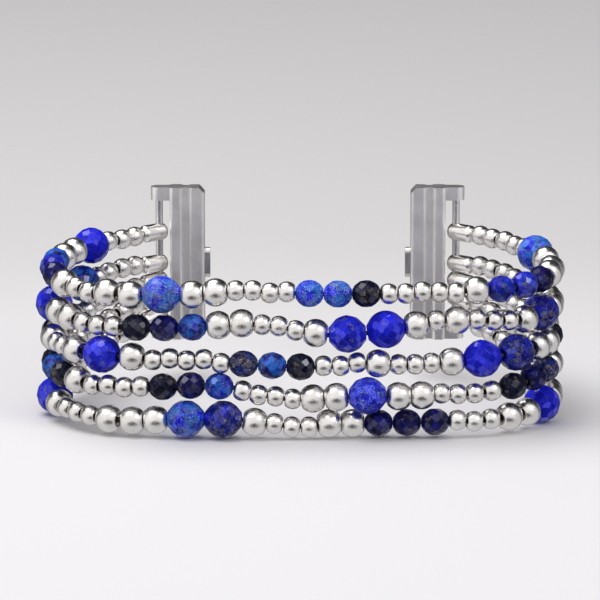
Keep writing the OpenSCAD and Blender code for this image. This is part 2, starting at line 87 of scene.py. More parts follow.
# %% Place the camera
AIM = Vector((-0.26, -20.25, 20.4)) * MM
AWAY, RISE = 620 * MM, math.radians(12)
FOCAL_LENGTH, SENSOR_WIDTH = 261, 36
NEAREST = 10 * MM


def add_object(name, data):
    """Puts a mesh, a lamp or a camera into the scene."""
    made = bpy.data.objects.new(name, data)
    bpy.context.scene.collection.objects.link(made)
    return made


camera = add_object("camera", bpy.data.cameras.new("camera"))
camera.location = AIM + AWAY * Vector((0, -math.cos(RISE), math.sin(RISE)))
camera.rotation_euler = (math.pi / 2 - RISE, 0, 0)
camera.data.lens = FOCAL_LENGTH
camera.data.sensor_width = SENSOR_WIDTH
camera.data.clip_start = NEAREST
bpy.context.scene.camera = camera
print("Camera at", [round(v / MM) for v in camera.location], "mm")

# %% [markdown]
# A way to write materials
#
# A finish is arithmetic: this much blue where the noise is high, less shine in the scratches.
# Wiring each Math node by hand hides that arithmetic. A small class that stands for one socket
# and knows how to add and multiply lets a finish be written the way it is thought of, and one
# method makes every other node.

# %% Numbers that vary over a surface
class Reading:
    """A number that varies over a surface, kept as the socket that gives it."""

    def __init__(self, bench, socket):
        self.bench, self.socket = bench, socket

    def math(self, operation, *values):
        made = self.bench.node("ShaderNodeMath", {"operation": operation}, values)
        return Reading(self.bench, made.outputs[0])

    def __add__(self, other):
        return self.math("ADD", self, other)

    def __sub__(self, other):
        return self.math("SUBTRACT", self, other)

    def __rsub__(self, other):
        return self.math("SUBTRACT", other, self)

    def __mul__(self, other):
        return self.math("MULTIPLY", self, other)

    def __truediv__(self, other):
        return self.math("DIVIDE", self, other)

    def __rtruediv__(self, other):
        return self.math("DIVIDE", other, self)

    __radd__ = __add__
    __rmul__ = __mul__

    def clamp(self):
        """The same number, but never below 0 nor above 1."""
        return self.math("MINIMUM", self.math("MAXIMUM", self, 0), 1)

    def step(self, low, high):
        """0 below low, 1 above high, and a smooth rise between."""
        made = self.bench.node("ShaderNodeMapRange", {"interpolation_type": "SMOOTHSTEP"},
                               {"Value": self, "From Min": low, "From Max": high})
        return Reading(self.bench, made.outputs["Result"])


print("Readings can be added, subtracted, multiplied and divided")

# %% A bench of nodes
MIX_AMOUNT, MIX_ONE, MIX_TWO, MIX_RESULT = 0, 6, 7, 2  # a Mix node's sockets for colours


class Bench:
    """Places nodes in a tree. A finish, and the light of the room, are made on one."""

    def __init__(self, tree):
        self.tree = tree
        tree.nodes.clear()

    def node(self, kind, settings=None, values=()):
        """Makes a node, sets its settings, then the values or links of its sockets."""
        made = self.tree.nodes.new(kind)
        for name, value in (settings or {}).items():
            setattr(made, name, value)
        pairs = values.items() if isinstance(values, dict) else enumerate(values)
        for key, value in pairs:
            self.feed(made.inputs[key], value)
        return made

    def feed(self, socket, value):
        """Links or sets a socket. A colour may be written without its alpha."""
        if isinstance(value, Reading):
            value = value.socket
        if isinstance(value, bpy.types.NodeSocket):
            self.tree.links.new(value, socket)
        elif hasattr(socket.default_value, "__len__") and len(value) < len(socket.default_value):
            socket.default_value = (*value, 1)
        else:
            socket.default_value = value

    def vector(self, operation, *values):
        return self.node("ShaderNodeVectorMath", {"operation": operation}, values)

    def blend(self, amount, one, two):
        """The colour one where amount is 0 and the colour two where it is 1."""
        made = self.node("ShaderNodeMix", {"data_type": "RGBA"},
                         {MIX_AMOUNT: amount, MIX_ONE: one, MIX_TWO: two})
        return made.outputs[MIX_RESULT]

    def scaled(self, colour, amount):
        """A colour made brighter or darker by a number that varies."""
        made = self.node("ShaderNodeVectorMath", {"operation": "SCALE"},
                         {0: colour, "Scale": amount})
        return made.outputs[0]


print("A bench places nodes and mixes colours")

# %% A finish, made on a bench
class Finish(Bench):
    """A material with one shader, whose sockets are named with _ for a space."""

    def __init__(self, name, **fixed):
        self.material = bpy.data.materials.new(name)
        self.material.use_nodes = True
        super().__init__(self.material.node_tree)
        self.shader = self.node("ShaderNodeBsdfPrincipled")
        self.node("ShaderNodeOutputMaterial", values={"Surface": self.shader.outputs[0]})
        self.set(**fixed)
        place = self.node("ShaderNodeTexCoord").outputs["Object"]
        self.place = self.vector("MULTIPLY", place, (1 / MM,) * 3).outputs[0]

    def set(self, **values):
        for socket, value in values.items():
            self.feed(self.shader.inputs[socket.replace("_", " ")], value)

    def read(self, name):
        """A number kept on the piece's points."""
        made = self.node("ShaderNodeAttribute", {"attribute_name": name})
        return Reading(self, made.outputs["Fac"])

    def noise(self, scale, detail, place=None, stretch=None):
        """Cloudy noise with this many clouds to a millimetre, squeezed along an axis if asked."""
        place = place or self.place
        if stretch:
            place = self.vector("MULTIPLY", place, stretch).outputs[0]
        made = self.node("ShaderNodeTexNoise",
                         values={"Vector": place, "Scale": scale, "Detail": detail})
        return Reading(self, made.outputs[0])

    def cells(self, scale, place):
        """How far a point is from the middle of the nearest grain."""
        made = self.node("ShaderNodeTexVoronoi", values={"Vector": place, "Scale": scale})
        return Reading(self, made.outputs["Distance"])

    def bump(self, height, depth):
        """Raises the surface by height times depth, in millimetres."""
        made = self.node("ShaderNodeBump", values={"Height": height, "Distance": depth * MM})
        self.set(Normal=made.outputs[0])


print("Finishes are ready to be written")

# %% [markdown]
# Bead steel
#
# The steel beads were tumbled until they shone and then left a little soft: the highlights have
# blurred edges, and under a lens the surface is full of tiny dents. A mirror would look like
# plastic chrome here, so the roughness sits near a quarter and wanders, and a very shallow bump
# stands for the dents. Each bead carries its own lot number, so no two wear the same pattern.

# %% Finish of the steel beads
WORN_STEEL, FRESH_STEEL, DULL_STEEL = (0.77, 0.75, 0.735), (0.88, 0.86, 0.85), (0.7, 0.68, 0.66)


def own_place(finish):
    """The place on a piece, shifted by each bead's own lot so that patterns differ."""
    lot = finish.node("ShaderNodeAttribute", {"attribute_name": "lot"}).outputs["Vector"]
    return finish.vector("ADD", finish.place, lot).outputs[0]


def make_bead_steel():
    steel = Finish("bead_steel", Metallic=1.0)
    place = own_place(steel)
    worn = steel.noise(0.9, 4, place)
    dents = steel.noise(6, 3, place)
    scratches = steel.noise(3, 2, place, (1, 1, 9)).step(0.58, 0.7)
    shade = steel.blend(worn.step(0.35, 0.75), WORN_STEEL, FRESH_STEEL)
    shade = steel.blend(steel.read("tone") * 0.3, shade, DULL_STEEL)
    steel.set(Base_Color=shade, Roughness=0.2 + worn * 0.1 + scratches * 0.08)
    steel.bump(dents + scratches * 0.6, 0.006)
    return steel.material


BEAD_STEEL = make_bead_steel()
print("Made", BEAD_STEEL.name)

# %% [markdown]
# Blue stone
#
# The stone is lapis lazuli. One bead is clean royal blue, the next nearly black, another has
# clouds of pale calcite or a smear of azure, and most have flecks of gold-coloured pyrite. A single
# blue with noise would make them all alike, so four numbers ride on each bead: how bright it is,
# and how much azure, calcite and gold it has. The finish mixes its colours by those numbers. A
# fifth number rides on each flat. Flats that came off the wheel polished better get a stronger
# coat, and catch the lamp as a lilac patch while the ones beside them stay deep blue. The same
# number also makes each flat's colour brighter or darker: a painted highlight and painted shade.

# %% Finish of the stone
NAVY, INDIGO, ROYAL = (0.0035, 0.0033, 0.02), (0.006, 0.005, 0.09), (0.013, 0.018, 0.76)
AZURE, CALCITE, GOLD = (0.014, 0.14, 0.66), (0.28, 0.37, 0.74), (0.44, 0.37, 0.24)
OCHRE = (0.16, 0.14, 0.095)


def make_stone():
    stone = Finish("blue_stone", Specular_IOR_Level=0.08, Coat_Roughness=0.07)
    place = own_place(stone)
    tone, teal, pale, gold = (stone.read(name) for name in ("tone", "teal", "pale", "gold"))
    sheen = stone.read("sheen")
    clouds = stone.noise(0.55, 4, place)
    grain = stone.noise(2.4, 6, place)
    specks = stone.noise(6, 2, place)

    # the ground of the stone runs from nearly black to royal blue, and azure drifts over it
    level = (tone + (clouds - 0.5 + (grain - 0.5) * 0.9) * (0.45 + tone * 0.55)).clamp()
    colour = stone.blend(level.step(0.02, 0.45), NAVY, INDIGO)
    colour = stone.blend(level.step(0.3, 0.85), colour, ROYAL)
    drift = stone.noise(0.7, 4, place).step(0.42, 0.58)
    colour = stone.blend((teal * drift * level.step(0.05, 0.45)).clamp(), colour, AZURE)
    # each flat's own number makes its colour brighter or darker: painted highlight and painted
    # shade
    colour = stone.scaled(colour, 0.14 + grain * 0.8 + sheen * 0.85)

    # calcite lies in veins and as dust around them
    veins = (stone.noise(1.0, 5, place) + pale * 0.07).step(0.5, 0.62)
    dust = (specks.step(0.5, 0.64) * (0.12 + veins)).clamp()
    colour = stone.blend((pale * dust * (0.12 + level * 0.8)).clamp(), colour, CALCITE)

    # flecks of gold sit in the middle of ochre stains
    patch = stone.noise(0.75, 5, place)
    stain = ((patch + gold * 0.12).step(0.62, 0.72) * grain.step(0.4, 0.62)).clamp()
    colour = stone.blend(stain * 0.75, colour, OCHRE)
    flecks = 1 - stone.cells(2.3, place).step(0.12, 0.25)
    fleck = (flecks * (patch + gold * 0.2).step(0.64, 0.76)).clamp()
    colour = stone.blend(fleck * 0.85, colour, GOLD)

    stone.set(Base_Color=colour, Metallic=fleck * 0.7, Roughness=0.22 + specks * 0.2,
              Coat_Weight=(sheen.step(0.4, 0.75) * (0.7 + specks * 0.8)).clamp())
    stone.bump(specks * 0.5 + grain * 0.5 - fleck * 0.5, 0.008)
    return stone.material


STONE = make_stone()
print("Made", STONE.name)

# %% [markdown]
# Elastic, links and lugs
#
# The cords are black elastic thread, smooth with a faint grain. The links are cast and polished
# like the beads. The lugs are brushed upright with a fine belt, so their flats are satin and not
# mirrors. The inner pieces of the latch are turned steel. All of these metals differ only in
# colour, shine and the run of their lines, so one recipe with five rows makes them.

# %% Finish of the cord
SOOT, CHARCOAL = (0.006, 0.006, 0.007), (0.02, 0.02, 0.023)


def make_cord():
    cord = Finish("elastic_cord", IOR=1.5)
    grain = cord.noise(5, 3)
    cord.set(Base_Color=cord.blend(grain.step(0.3, 0.7), SOOT, CHARCOAL),
             Roughness=0.36 + grain * 0.2)
    cord.bump(grain, 0.02)
    return cord.material


CORD = make_cord()
print("Made", CORD.name)

# %% Finishes of the other metals
METALS = {  # dark colour, pale colour, roughness, how lines are squeezed, their depth in mm
    "lug_steel": ((0.84, 0.82, 0.8), (0.93, 0.915, 0.9), 0.3, (2, 2, 0.12), 0.008),
    "link_steel": ((0.82, 0.80, 0.78), (0.92, 0.9, 0.885), 0.12, (1, 1, 1), 0.006),
    "bar_steel": ((0.68, 0.665, 0.64), (0.78, 0.765, 0.74), 0.16, (1, 1, 6), 0.004),
    "latch_steel": ((0.6, 0.59, 0.57), (0.72, 0.71, 0.69), 0.2, (3, 1, 1), 0.006),
    "spring_wire": ((0.5, 0.49, 0.47), (0.62, 0.6, 0.57), 0.22, (1, 1, 1), 0.004),
}


def make_metal(name, dark, pale, rough, squeeze, depth):
    metal = Finish(name, Metallic=1.0)
    cloud = metal.noise(0.35, 4)
    line = metal.noise(6, 3, stretch=squeeze)
    metal.set(Base_Color=metal.blend(cloud.step(0.3, 0.7), dark, pale),
              Roughness=rough + cloud * 0.1 + line * 0.08)
    metal.bump(line + cloud * 0.5, depth)
    return metal.material


metals = {name: make_metal(name, *recipe) for name, recipe in METALS.items()}
print("Made", list(metals))

# %% [markdown]
# Reading the strands from the model
#
# The measured model holds each cord as a thin tube of rings, and each bead as a closed solid. A
# bead's middle is the middle of its faces, and the cord that runs through it gives its axis. So
# the strands are read here rather than typed again, and the dressed beads can't drift from them.

# %% Separate solids of a measured piece
WELD = 0.002 * MM


def solids(node):
    """The closed solids of one piece, each as an array of triangles in metres."""
    mesh = frame["nodes"][node].data
    mesh.calc_loop_triangles()
    corners = np.empty(len(mesh.vertices) * 3)
    mesh.vertices.foreach_get("co", corners)
    corners = corners.reshape(-1, 3)
    faces = np.empty(len(mesh.loop_triangles) * 3, int)
    mesh.loop_triangles.foreach_get("vertices", faces)
    faces = faces.reshape(-1, 3)

    # the triangles are loose, so corners at one place first get one number
    _, same = np.unique(np.round(corners / WELD).astype(int), axis=0, return_inverse=True)
    joined = same.reshape(-1)[faces]

    # then the lowest number spreads from corner to corner, until each solid has only one
    group = np.arange(same.max() + 1)
    while True:
        low = np.minimum.reduceat(group[joined].reshape(-1), np.arange(0, joined.size, 3))
        new = group.copy()
        np.minimum.at(new, joined.reshape(-1), np.repeat(low, 3))
        new = new[new]
        if (new == group).all():
            break
        group = new
    labels = group[joined[:, 0]]
    return [corners[faces[labels == label]] for label in np.unique(labels)]


BEAD_NODES = [n for n in frame["nodes"] if n.endswith("_beads")]
CORD_NODES = [n for n in frame["nodes"] if n.endswith("_cords")]
print(sum(len(solids(n)) for n in BEAD_NODES), "beads in", len(BEAD_NODES), "pieces")

# %% The course of every cord
RING = 6
SAME_POINT = 0.001 * MM


def round_loop(points):
    """How far round the loop each point is, from the middle of the front, in radians."""
    return np.arctan2(points[..., 0], -points[..., 1])


def course(triangles):
    """The middles of a tube's rings, in order round the loop."""
    points = np.unique(np.round(triangles.reshape(-1, 3) / SAME_POINT), axis=0) * SAME_POINT
    points = points[np.argsort(round_loop(points))]
    return np.array([points[i:i + RING].mean(0) for i in range(0, len(points) - RING + 1, RING)])


courses = {node: sorted((course(tube) for tube in solids(node)),
                        key=lambda line: -line[:, 2].mean()) for node in CORD_NODES}
print("Points on the cords, from the top:",
      {node: [len(line) for line in lines] for node, lines in courses.items()})

# %% The bead's axis is the run of the cord through it
SHORTEST_RUN = 0.5 * MM  # runs shorter than this lie in the bends between beads

starts, ways, strands = [], [], []
for lines in courses.values():
    for strand, line in enumerate(lines):
        for a, b in zip(line, line[1:]):
            if np.linalg.norm(b - a) > SHORTEST_RUN:
                starts.append(a)
                ways.append(b - a)
                strands.append(strand)
starts, ways, strands = np.array(starts), np.array(ways), np.array(strands)


def axis_at(point):
    """The direction of the nearest run of cord, and the number of its strand from the top."""
    along = ((point - starts) * ways).sum(1) / (ways * ways).sum(1)
    near = starts + np.clip(along, 0, 1)[:, None] * ways
    best = np.argmin(np.linalg.norm(near - point, axis=1))
    return ways[best] / np.linalg.norm(ways[best]), int(strands[best])


print("The cords have", len(ways), "straight runs")

# %% The beads, and the strands they hang on
STRANDS = 5
SIZES = {  # across and along the cord, in millimetres
    "small_steel": (3.0, 2.3),
    "large_steel": (4.1, 3.25),
    "small_stone": (4.05, 3.95),
    "large_stone": (5.6, 5.3),
}


def middle(triangles):
    """The middle of a solid's surface, weighted by area."""
    a, b, c = triangles[:, 0], triangles[:, 1], triangles[:, 2]
    area = np.linalg.norm(np.cross(b - a, c - a), axis=1)
    return ((a + b + c) / 3 * area[:, None]).sum(0) / area.sum()


beads = {}
for node in BEAD_NODES:
    kind = "_".join(node.split("_")[-3:-1])
    beads[node] = []
    for solid in solids(node):
        at = middle(solid)
        way, strand = axis_at(at)
        beads[node].append({"kind": kind, "at": at, "way": way, "strand": strand,
                            "round": float(round_loop(at)), "long": 1.0})
strung = [sorted((b for found in beads.values() for b in found if b["strand"] == strand),
                 key=lambda b: b["round"]) for strand in range(STRANDS)]
print([len(line) for line in strung], "beads on the strands, from the top")

# %% [markdown]
# Closing up the beads
#
# Tumbled steel beads aren't cut to a gauge: one is a tenth of a millimetre longer than the next,
# and a stringer pushes them up against each other. The measured beads are all alike, so they
# leave even little gaps that look like a drawing. Here each bead grows along its cord into half of
# the gap on each side, as far as the bend of the cord and its own kind allow.

# %% Close up the beads
GROWTH = {"steel": 0.085, "stone": 0.02}  # the most a bead may grow, as a share of its length
TOUCH = 0.05  # what is left of a gap, in millimetres
END_RADIUS = 0.95  # where the cord bends, two ends meet this far from it


def room_between(one, two):
    """The room between the ends of two beads, in millimetres, less what a bend takes."""
    apart = np.linalg.norm(two["at"] - one["at"]) / MM
    bend = math.acos(min(1, one["way"] @ two["way"]))
    lengths = SIZES[one["kind"]][1] + SIZES[two["kind"]][1]
    return apart - lengths / 2 - END_RADIUS * bend


for line in strung:
    grown = [[0.0, 0.0] for _ in line]
    for i, (one, two) in enumerate(zip(line, line[1:])):
        grown[i][1] = grown[i + 1][0] = max(0, room_between(one, two) - TOUCH) / 2
    for bead, (before, after) in zip(line, grown):
        length = SIZES[bead["kind"]][1]
        most = GROWTH[bead["kind"].split("_")[1]] * length / 2
        before, after = min(before, most), min(after, most)
        bead["at"] = bead["at"] + bead["way"] * (after - before) / 2 * MM
        bead["long"] = 1 + (before + after) / length
growth = np.mean([b["long"] for line in strung for b in line]) - 1
print("Beads grow by", round(100 * growth, 1), "% on average")

# %% [markdown]
# Choosing the stones
#
# Whoever strung the band picked each stone. The plan below names one look for each stone, strand
# by strand from the top, from the left lug round the front to the right one. It could be left to
# chance, but the choice is part of how the band looks: bright stones sit beside dark ones.

# %% The stringing plan
LOOKS = {  # brightness, azure, calcite, gold
    "bright": (0.95, 0.0, 0.08, 0.1),
    "deep": (0.8, 0.0, 0.05, 0.1),
    "frosted": (1.0, 0.1, 1.0, 0.1),
    "royal": (0.78, 0.05, 0.15, 0.5),
    "middle": (0.55, 0.15, 0.25, 0.3),
    "indigo": (0.32, 0.0, 0.15, 0.3),
    "dark": (0.02, 0.05, 0.7, 0.35),
    "teal": (0.45, 0.95, 0.5, 0.3),
    "patched": (0.9, 1.3, 1.0, 0.9),
    "azure": (1.0, 2.0, 1.6, 0.8),
    "mottled": (0.55, 0.8, 0.8, 0.2),
    "flecked": (0.5, 0.1, 0.3, 1.0),
    "dusty": (0.3, 0.15, 0.7, 1.1),
    "sky": (0.85, 1.2, 1.3, 0.2),
}
PLAN = [
    "deep teal middle indigo azure sky sky dark middle middle indigo sky",
    "teal indigo royal dark indigo mottled royal bright flecked indigo",
    "dark dark royal dusty teal dark bright flecked dark",
    "middle dark teal dark dark indigo mottled frosted dark indigo dusty",
    "indigo royal patched flecked indigo indigo indigo bright middle",
]
for strand, plan in enumerate(PLAN):
    stones = [b for b in strung[strand] if "stone" in b["kind"]]
    names = plan.split()
    for bead, name in zip(stones, names):
        bead["look"] = LOOKS[name]
    print("Strand", strand + 1, "has", len(stones), "stones for", len(names), "looks")

# %% [markdown]
# Shaping the steel beads
#
# A steel bead is turned from rod: a ball with flat drilled ends, a small countersink at the hole
# and an edge that the tumbling has rounded. A ball primitive would need its ends cut and drilled,
# so the bead is drawn as half an outline instead, and spun about its axis as on a lathe.

# %% Shelves for finished shapes
workshop = {}


def closed_mesh(shape, name):
    """The mesh of a finished shape, with every face turned outwards."""
    bmesh.ops.recalc_face_normals(shape, faces=shape.faces)
    mesh = bpy.data.meshes.new(name)
    shape.to_mesh(mesh)
    shape.free()
    return mesh


def shade_smooth(mesh, smooth=True):
    mesh.polygons.foreach_set("use_smooth", [smooth] * len(mesh.polygons))


def store(kind, mesh):
    """Keeps a shape in a hidden collection of its own kind."""
    if kind not in workshop:
        workshop[kind] = bpy.data.collections.new(kind)
    workshop[kind].objects.link(bpy.data.objects.new(mesh.name, mesh))


print("Shelves for", len(SIZES), "kinds of bead")

# %% Steel beads, spun from an outline
# sizes are in millimetres, here and in the next three cells
BORE = 0.7
SINK_WIDTH, SINK_DEPTH, SINK_LIP = 0.13, 0.16, 0.01
EDGE_WIDTH, EDGE_DROP, EDGE_BREAK = 0.12, 0.1, 0.03
BALL_POINTS, AROUND = 11, 24


def steel_outline(radius, length):
    """Radius and height, from one mouth of the bore round to the other."""
    half = length / 2
    edge = math.sqrt(radius ** 2 - half ** 2)
    rim = [(BORE, -half + SINK_DEPTH), (BORE + SINK_WIDTH, -half + SINK_LIP),
           (edge - EDGE_WIDTH, -half), (edge - EDGE_BREAK, -half + EDGE_BREAK)]
    lift = math.asin((half - EDGE_DROP) / radius)
    ball = [(radius * math.cos(a), radius * math.sin(a))
            for a in np.linspace(-lift, lift, BALL_POINTS)]
    return rim + ball + [(r, -h) for r, h in reversed(rim)]


def spin(outline, name):
    """Turns an outline round the Z axis into a closed ring of faces."""
    shape = bmesh.new()
    turns = np.linspace(0, 2 * math.pi, AROUND, endpoint=False)
    rings = [[shape.verts.new((r * MM * math.cos(a), r * MM * math.sin(a), h * MM))
              for a in turns] for r, h in outline]
    rings.append(rings[0])
    for one, two in zip(rings, rings[1:]):
        for i in range(AROUND):
            shape.faces.new((one[i - 1], one[i], two[i], two[i - 1]))
    return closed_mesh(shape, name)


for kind in ("small_steel", "large_steel"):
    across, length = SIZES[kind]
    turned = spin(steel_outline(across / 2, length), kind + "_1")
    shade_smooth(turned)
    store(kind, turned)
    print(kind, "has", len(turned.polygons), "faces")

# %% [markdown]
# Grinding the stones
#
# A stone bead is ground by hand, one flat at a time, and that is how it is made here: a block is
# cut by one plane after another, row by row, and each cut is a little off, as a hand is. Cut this
# way every facet is truly flat, which the corners of a modelled ball would not give. Four
# cuttings of each size keep the stones from repeating.

# %% Grind the flats of a block
RIM = 0.2  # how wide the flat ring round the mouth of the bore is
SPARE = 1.3  # the block before grinding, against the finished stone
ROWS, ROW_SPREAD = range(-3, 4), 1.1
TURN_SLIP, TILT_SLIP, DEPTH_SLIP = 0.025, 0.02, (0.992, 1.008)
UNDERSIZE = 0.99  # a finished stone against its kind's width, so that none stands out


def flats_of(flats, dice):
    """Directions and depths of a stone's flats: seven rows, each turned half a flat."""
    step = ROW_SPREAD * math.pi / flats
    for row in ROWS:
        for i in range(flats):
            turn = (i + row % 2 / 2) * 2 * math.pi / flats + dice.normal(0, TURN_SLIP)
            tilt = row * step + dice.normal(0, TILT_SLIP)
            out = math.cos(tilt)
            normal = Vector((out * math.cos(turn), out * math.sin(turn), math.sin(tilt)))
            yield normal, math.cos(step) * dice.uniform(*DEPTH_SLIP)


def slice_off(shape, normal, reach):
    """Cuts everything past a plane away and closes the cut with one flat."""
    parts = shape.verts[:] + shape.edges[:] + shape.faces[:]
    made = bmesh.ops.bisect_plane(shape, geom=parts, plane_co=normal * reach, plane_no=normal,
                                  clear_outer=True)
    rim = [part for part in made["geom_cut"] if isinstance(part, bmesh.types.BMEdge)]
    if rim:
        bmesh.ops.contextual_create(shape, geom=rim)


def ground_block(across, length, flats, dice):
    """A block cut to a faceted ball with flat ends, then brought to its kind's size."""
    radius, mouth = across / 2 * MM, (BORE + RIM) * MM
    shape = bmesh.new()
    bmesh.ops.create_cube(shape, size=SPARE * across * MM)
    for normal, depth in flats_of(flats, dice):
        slice_off(shape, normal, radius * depth)
    end = math.sqrt(radius ** 2 - mouth ** 2)
    for way in (-1, 1):
        slice_off(shape, Vector((0, 0, way)), end)
    reach = max(vert.co.xy.length for vert in shape.verts)
    sideways = UNDERSIZE * radius / reach
    bmesh.ops.scale(shape, vec=(sideways, sideways, length / 2 * MM / end), verts=shape.verts)
    return shape


print("A stone has", len(ROWS), "rows of flats")

# %% Break the edges and drill
SMALLEST_EDGE, BROKEN_EDGE = 0.07, 0.05
BORE_SIDES = 12


def break_edges(shape):
    """Closes up the tiniest edges and gives every other a narrow bevel."""
    bmesh.ops.remove_doubles(shape, verts=shape.verts, dist=SMALLEST_EDGE * MM)
    bmesh.ops.bevel(shape, geom=shape.edges[:], offset=BROKEN_EDGE * MM, segments=1,
                    profile=0.5, affect="EDGES", clamp_overlap=True)


def drill(shape):
    """Opens a round mouth in each end and joins the two with the wall of the bore."""
    mouths = []
    for way in (-1, 1):
        cap = max(shape.faces, key=lambda face: face.calc_center_median().z * way)
        rim, height = list(cap.edges), cap.calc_center_median().z
        bmesh.ops.delete(shape, geom=[cap], context="FACES_ONLY")
        circle = bmesh.ops.create_circle(shape, segments=BORE_SIDES, radius=BORE * MM)["verts"]
        for vert in circle:
            vert.co.z = height
        mouth = list(dict.fromkeys(edge for vert in circle for edge in vert.link_edges))
        bmesh.ops.bridge_loops(shape, edges=rim + mouth)
        mouths += mouth
    bmesh.ops.bridge_loops(shape, edges=mouths)


print("A bore has", BORE_SIDES, "sides")

# %% Keep four cuttings of each size
FLATS = {"small_stone": 10, "large_stone": 12}
CUTTINGS, FIRST_DICE = 4, 11
SMALLEST_FLAT = 0.3  # ground flats are wider than this, broken edges are not
# faces that are not flats get a middling coat and a middling painted brightness
PLAIN_GLOSS_AND_LIGHT = 0.5


def draw_flat_gloss_and_light(mesh, dice):
    """Gives each flat a number for its coat and its painted highlight or shade, the rest a plain
    one.
    """
    sheen = mesh.attributes.new("sheen", "FLOAT", "FACE")
    sheen.data.foreach_set("value", [
        dice.random() if face.area > (SMALLEST_FLAT * MM) ** 2 else PLAIN_GLOSS_AND_LIGHT
        for face in mesh.polygons])


for kind, flats in FLATS.items():
    for cutting in range(CUTTINGS):
        dice = np.random.default_rng(FIRST_DICE + cutting)
        shape = ground_block(*SIZES[kind], flats, dice)
        break_edges(shape)
        drill(shape)
        cut = closed_mesh(shape, f"{kind}_{cutting + 1}")
        draw_flat_gloss_and_light(cut, dice)
        shade_smooth(cut, False)
        store(kind, cut)
    print(kind, "has", len(cut.polygons), "faces in the last of", CUTTINGS, "cuttings")

# %% [markdown]
# Threading with Geometry Nodes
#
# Two hundred beads repeat ten shapes, which is what Geometry Nodes are for. The tree below takes
# loose points. On each it sets one bead from a collection, turns it to the cord's direction, spins
# it by its own angle, and shrinks it by a hair, since beads are sorted by eye. The instances are
# made real at the end, because only real geometry can be exported. The numbers that ride on the
# points, such as a stone's brightness, pass on to the beads.

# %% Trees that grow meshes
def tree_with(name, inputs):
    """A Geometry Nodes tree: its identifiers by name, a way to add nodes, and its inputs."""
    tree = bpy.data.node_groups.new(name, "GeometryNodeTree")
    tree.is_modifier = True
    ids = {}
    for label, kind in {"Geometry": "NodeSocketGeometry", **inputs}.items():
        made = tree.interface.new_socket(label, in_out="INPUT", socket_type=kind)
        ids[label] = made.identifier
    tree.interface.new_socket("Geometry", in_out="OUTPUT", socket_type="NodeSocketGeometry")

    def add(kind, settings=None, values=None):
        made = tree.nodes.new(kind)
        for key, value in (settings or {}).items():
            setattr(made, key, value)
        for key, value in (values or {}).items():
            if isinstance(value, bpy.types.NodeSocket):
                tree.links.new(value, made.inputs[key])
            else:
                made.inputs[key].default_value = value
        return made

    return tree, ids, add, add("NodeGroupInput").outputs


def finish_tree(add, geometry, finish):
    """Ends a tree: the geometry is made real and gets its material."""
    real = add("GeometryNodeRealizeInstances", None, {"Geometry": geometry})
    dressed = add("GeometryNodeSetMaterial", None,
                  {"Geometry": real.outputs[0], "Material": finish})
    add("NodeGroupOutput", None, {"Geometry": dressed.outputs[0]})


def plain_mesh(thing):
    """The mesh that an object's modifiers make."""
    bpy.context.view_layer.update()
    evaluated = thing.evaluated_get(bpy.context.evaluated_depsgraph_get())
    return bpy.data.meshes.new_from_object(evaluated)


def grow(name, mesh, tree, ids, values):
    """Runs a tree on a mesh and gives back an object with the plain mesh that it makes."""
    seed = add_object(name, mesh)
    modifier = seed.modifiers.new("grow", "NODES")
    modifier.node_group = tree
    for label, value in values.items():
        modifier[ids[label]] = value
    made = plain_mesh(seed)
    seed.modifiers.clear()
    seed.data = made
    made.name = name
    return seed


print("Trees can be built and run")

# %% The threading tree
CHANCE_SOCKETS = {"FLOAT_VECTOR": 0, "FLOAT": 2, "INT": 4}  # a Random Value node's first input
PICKS = 97  # the picked number is taken round the number of shapes


def threading_tree():
    tree, ids, add, given = tree_with("Thread the beads", {
        "Shapes": "NodeSocketCollection", "Finish": "NodeSocketMaterial", "Seed": "NodeSocketInt",
        "Smallest": "NodeSocketFloat", "Play": "NodeSocketVector", "Tilt": "NodeSocketVector"})

    def chance(kind, low, high):
        """A random value for each bead, from low to high."""
        first = CHANCE_SOCKETS[kind]
        made = add("FunctionNodeRandomValue", {"data_type": kind},
                   {first: low, first + 1: high, "Seed": given["Seed"]})
        return made.outputs[first // 2]

    def each_way(amount):
        """A random vector for each bead, up to the amount on each axis."""
        either = chance("FLOAT_VECTOR", (-1, -1, -1), (1, 1, 1))
        return add("ShaderNodeVectorMath", {"operation": "MULTIPLY"},
                   {0: either, 1: amount}).outputs[0]

    def stored(name, kind):
        return add("GeometryNodeInputNamedAttribute", {"data_type": kind},
                   {"Name": name}).outputs[0]

    shapes = add("GeometryNodeCollectionInfo", {"transform_space": "ORIGINAL"},
                 {"Collection": given["Shapes"], "Separate Children": True,
                  "Reset Children": True})
    loose = add("GeometryNodeSetPosition", None,
                {"Geometry": given["Geometry"], "Offset": each_way(given["Play"])})
    way = add("ShaderNodeVectorMath", {"operation": "ADD"},
              {0: stored("way", "FLOAT_VECTOR"), 1: each_way(given["Tilt"])})
    aim = add("FunctionNodeAlignRotationToVector", {"axis": "Z"}, {"Vector": way.outputs[0]})
    turn = add("FunctionNodeAxisAngleToRotation", None,
               {"Axis": (0, 0, 1), "Angle": chance("FLOAT", 0, 2 * math.pi)})
    both = add("FunctionNodeRotateRotation", {"rotation_space": "LOCAL"},
               {"Rotation": aim.outputs[0], "Rotate By": turn.outputs[0]})
    size = chance("FLOAT", given["Smallest"], 1)
    scale = add("ShaderNodeCombineXYZ", None,
                {"X": size, "Y": size, "Z": stored("long", "FLOAT")})
    threaded = add("GeometryNodeInstanceOnPoints", None, {
        "Points": loose.outputs[0], "Instance": shapes.outputs[0], "Pick Instance": True,
        "Instance Index": chance("INT", 0, PICKS), "Rotation": both.outputs[0],
        "Scale": scale.outputs[0]})
    finish_tree(add, threaded.outputs[0], given["Finish"])
    return tree, ids


THREADING, THREADING_IDS = threading_tree()
print("The threading tree has", len(THREADING.nodes), "nodes")

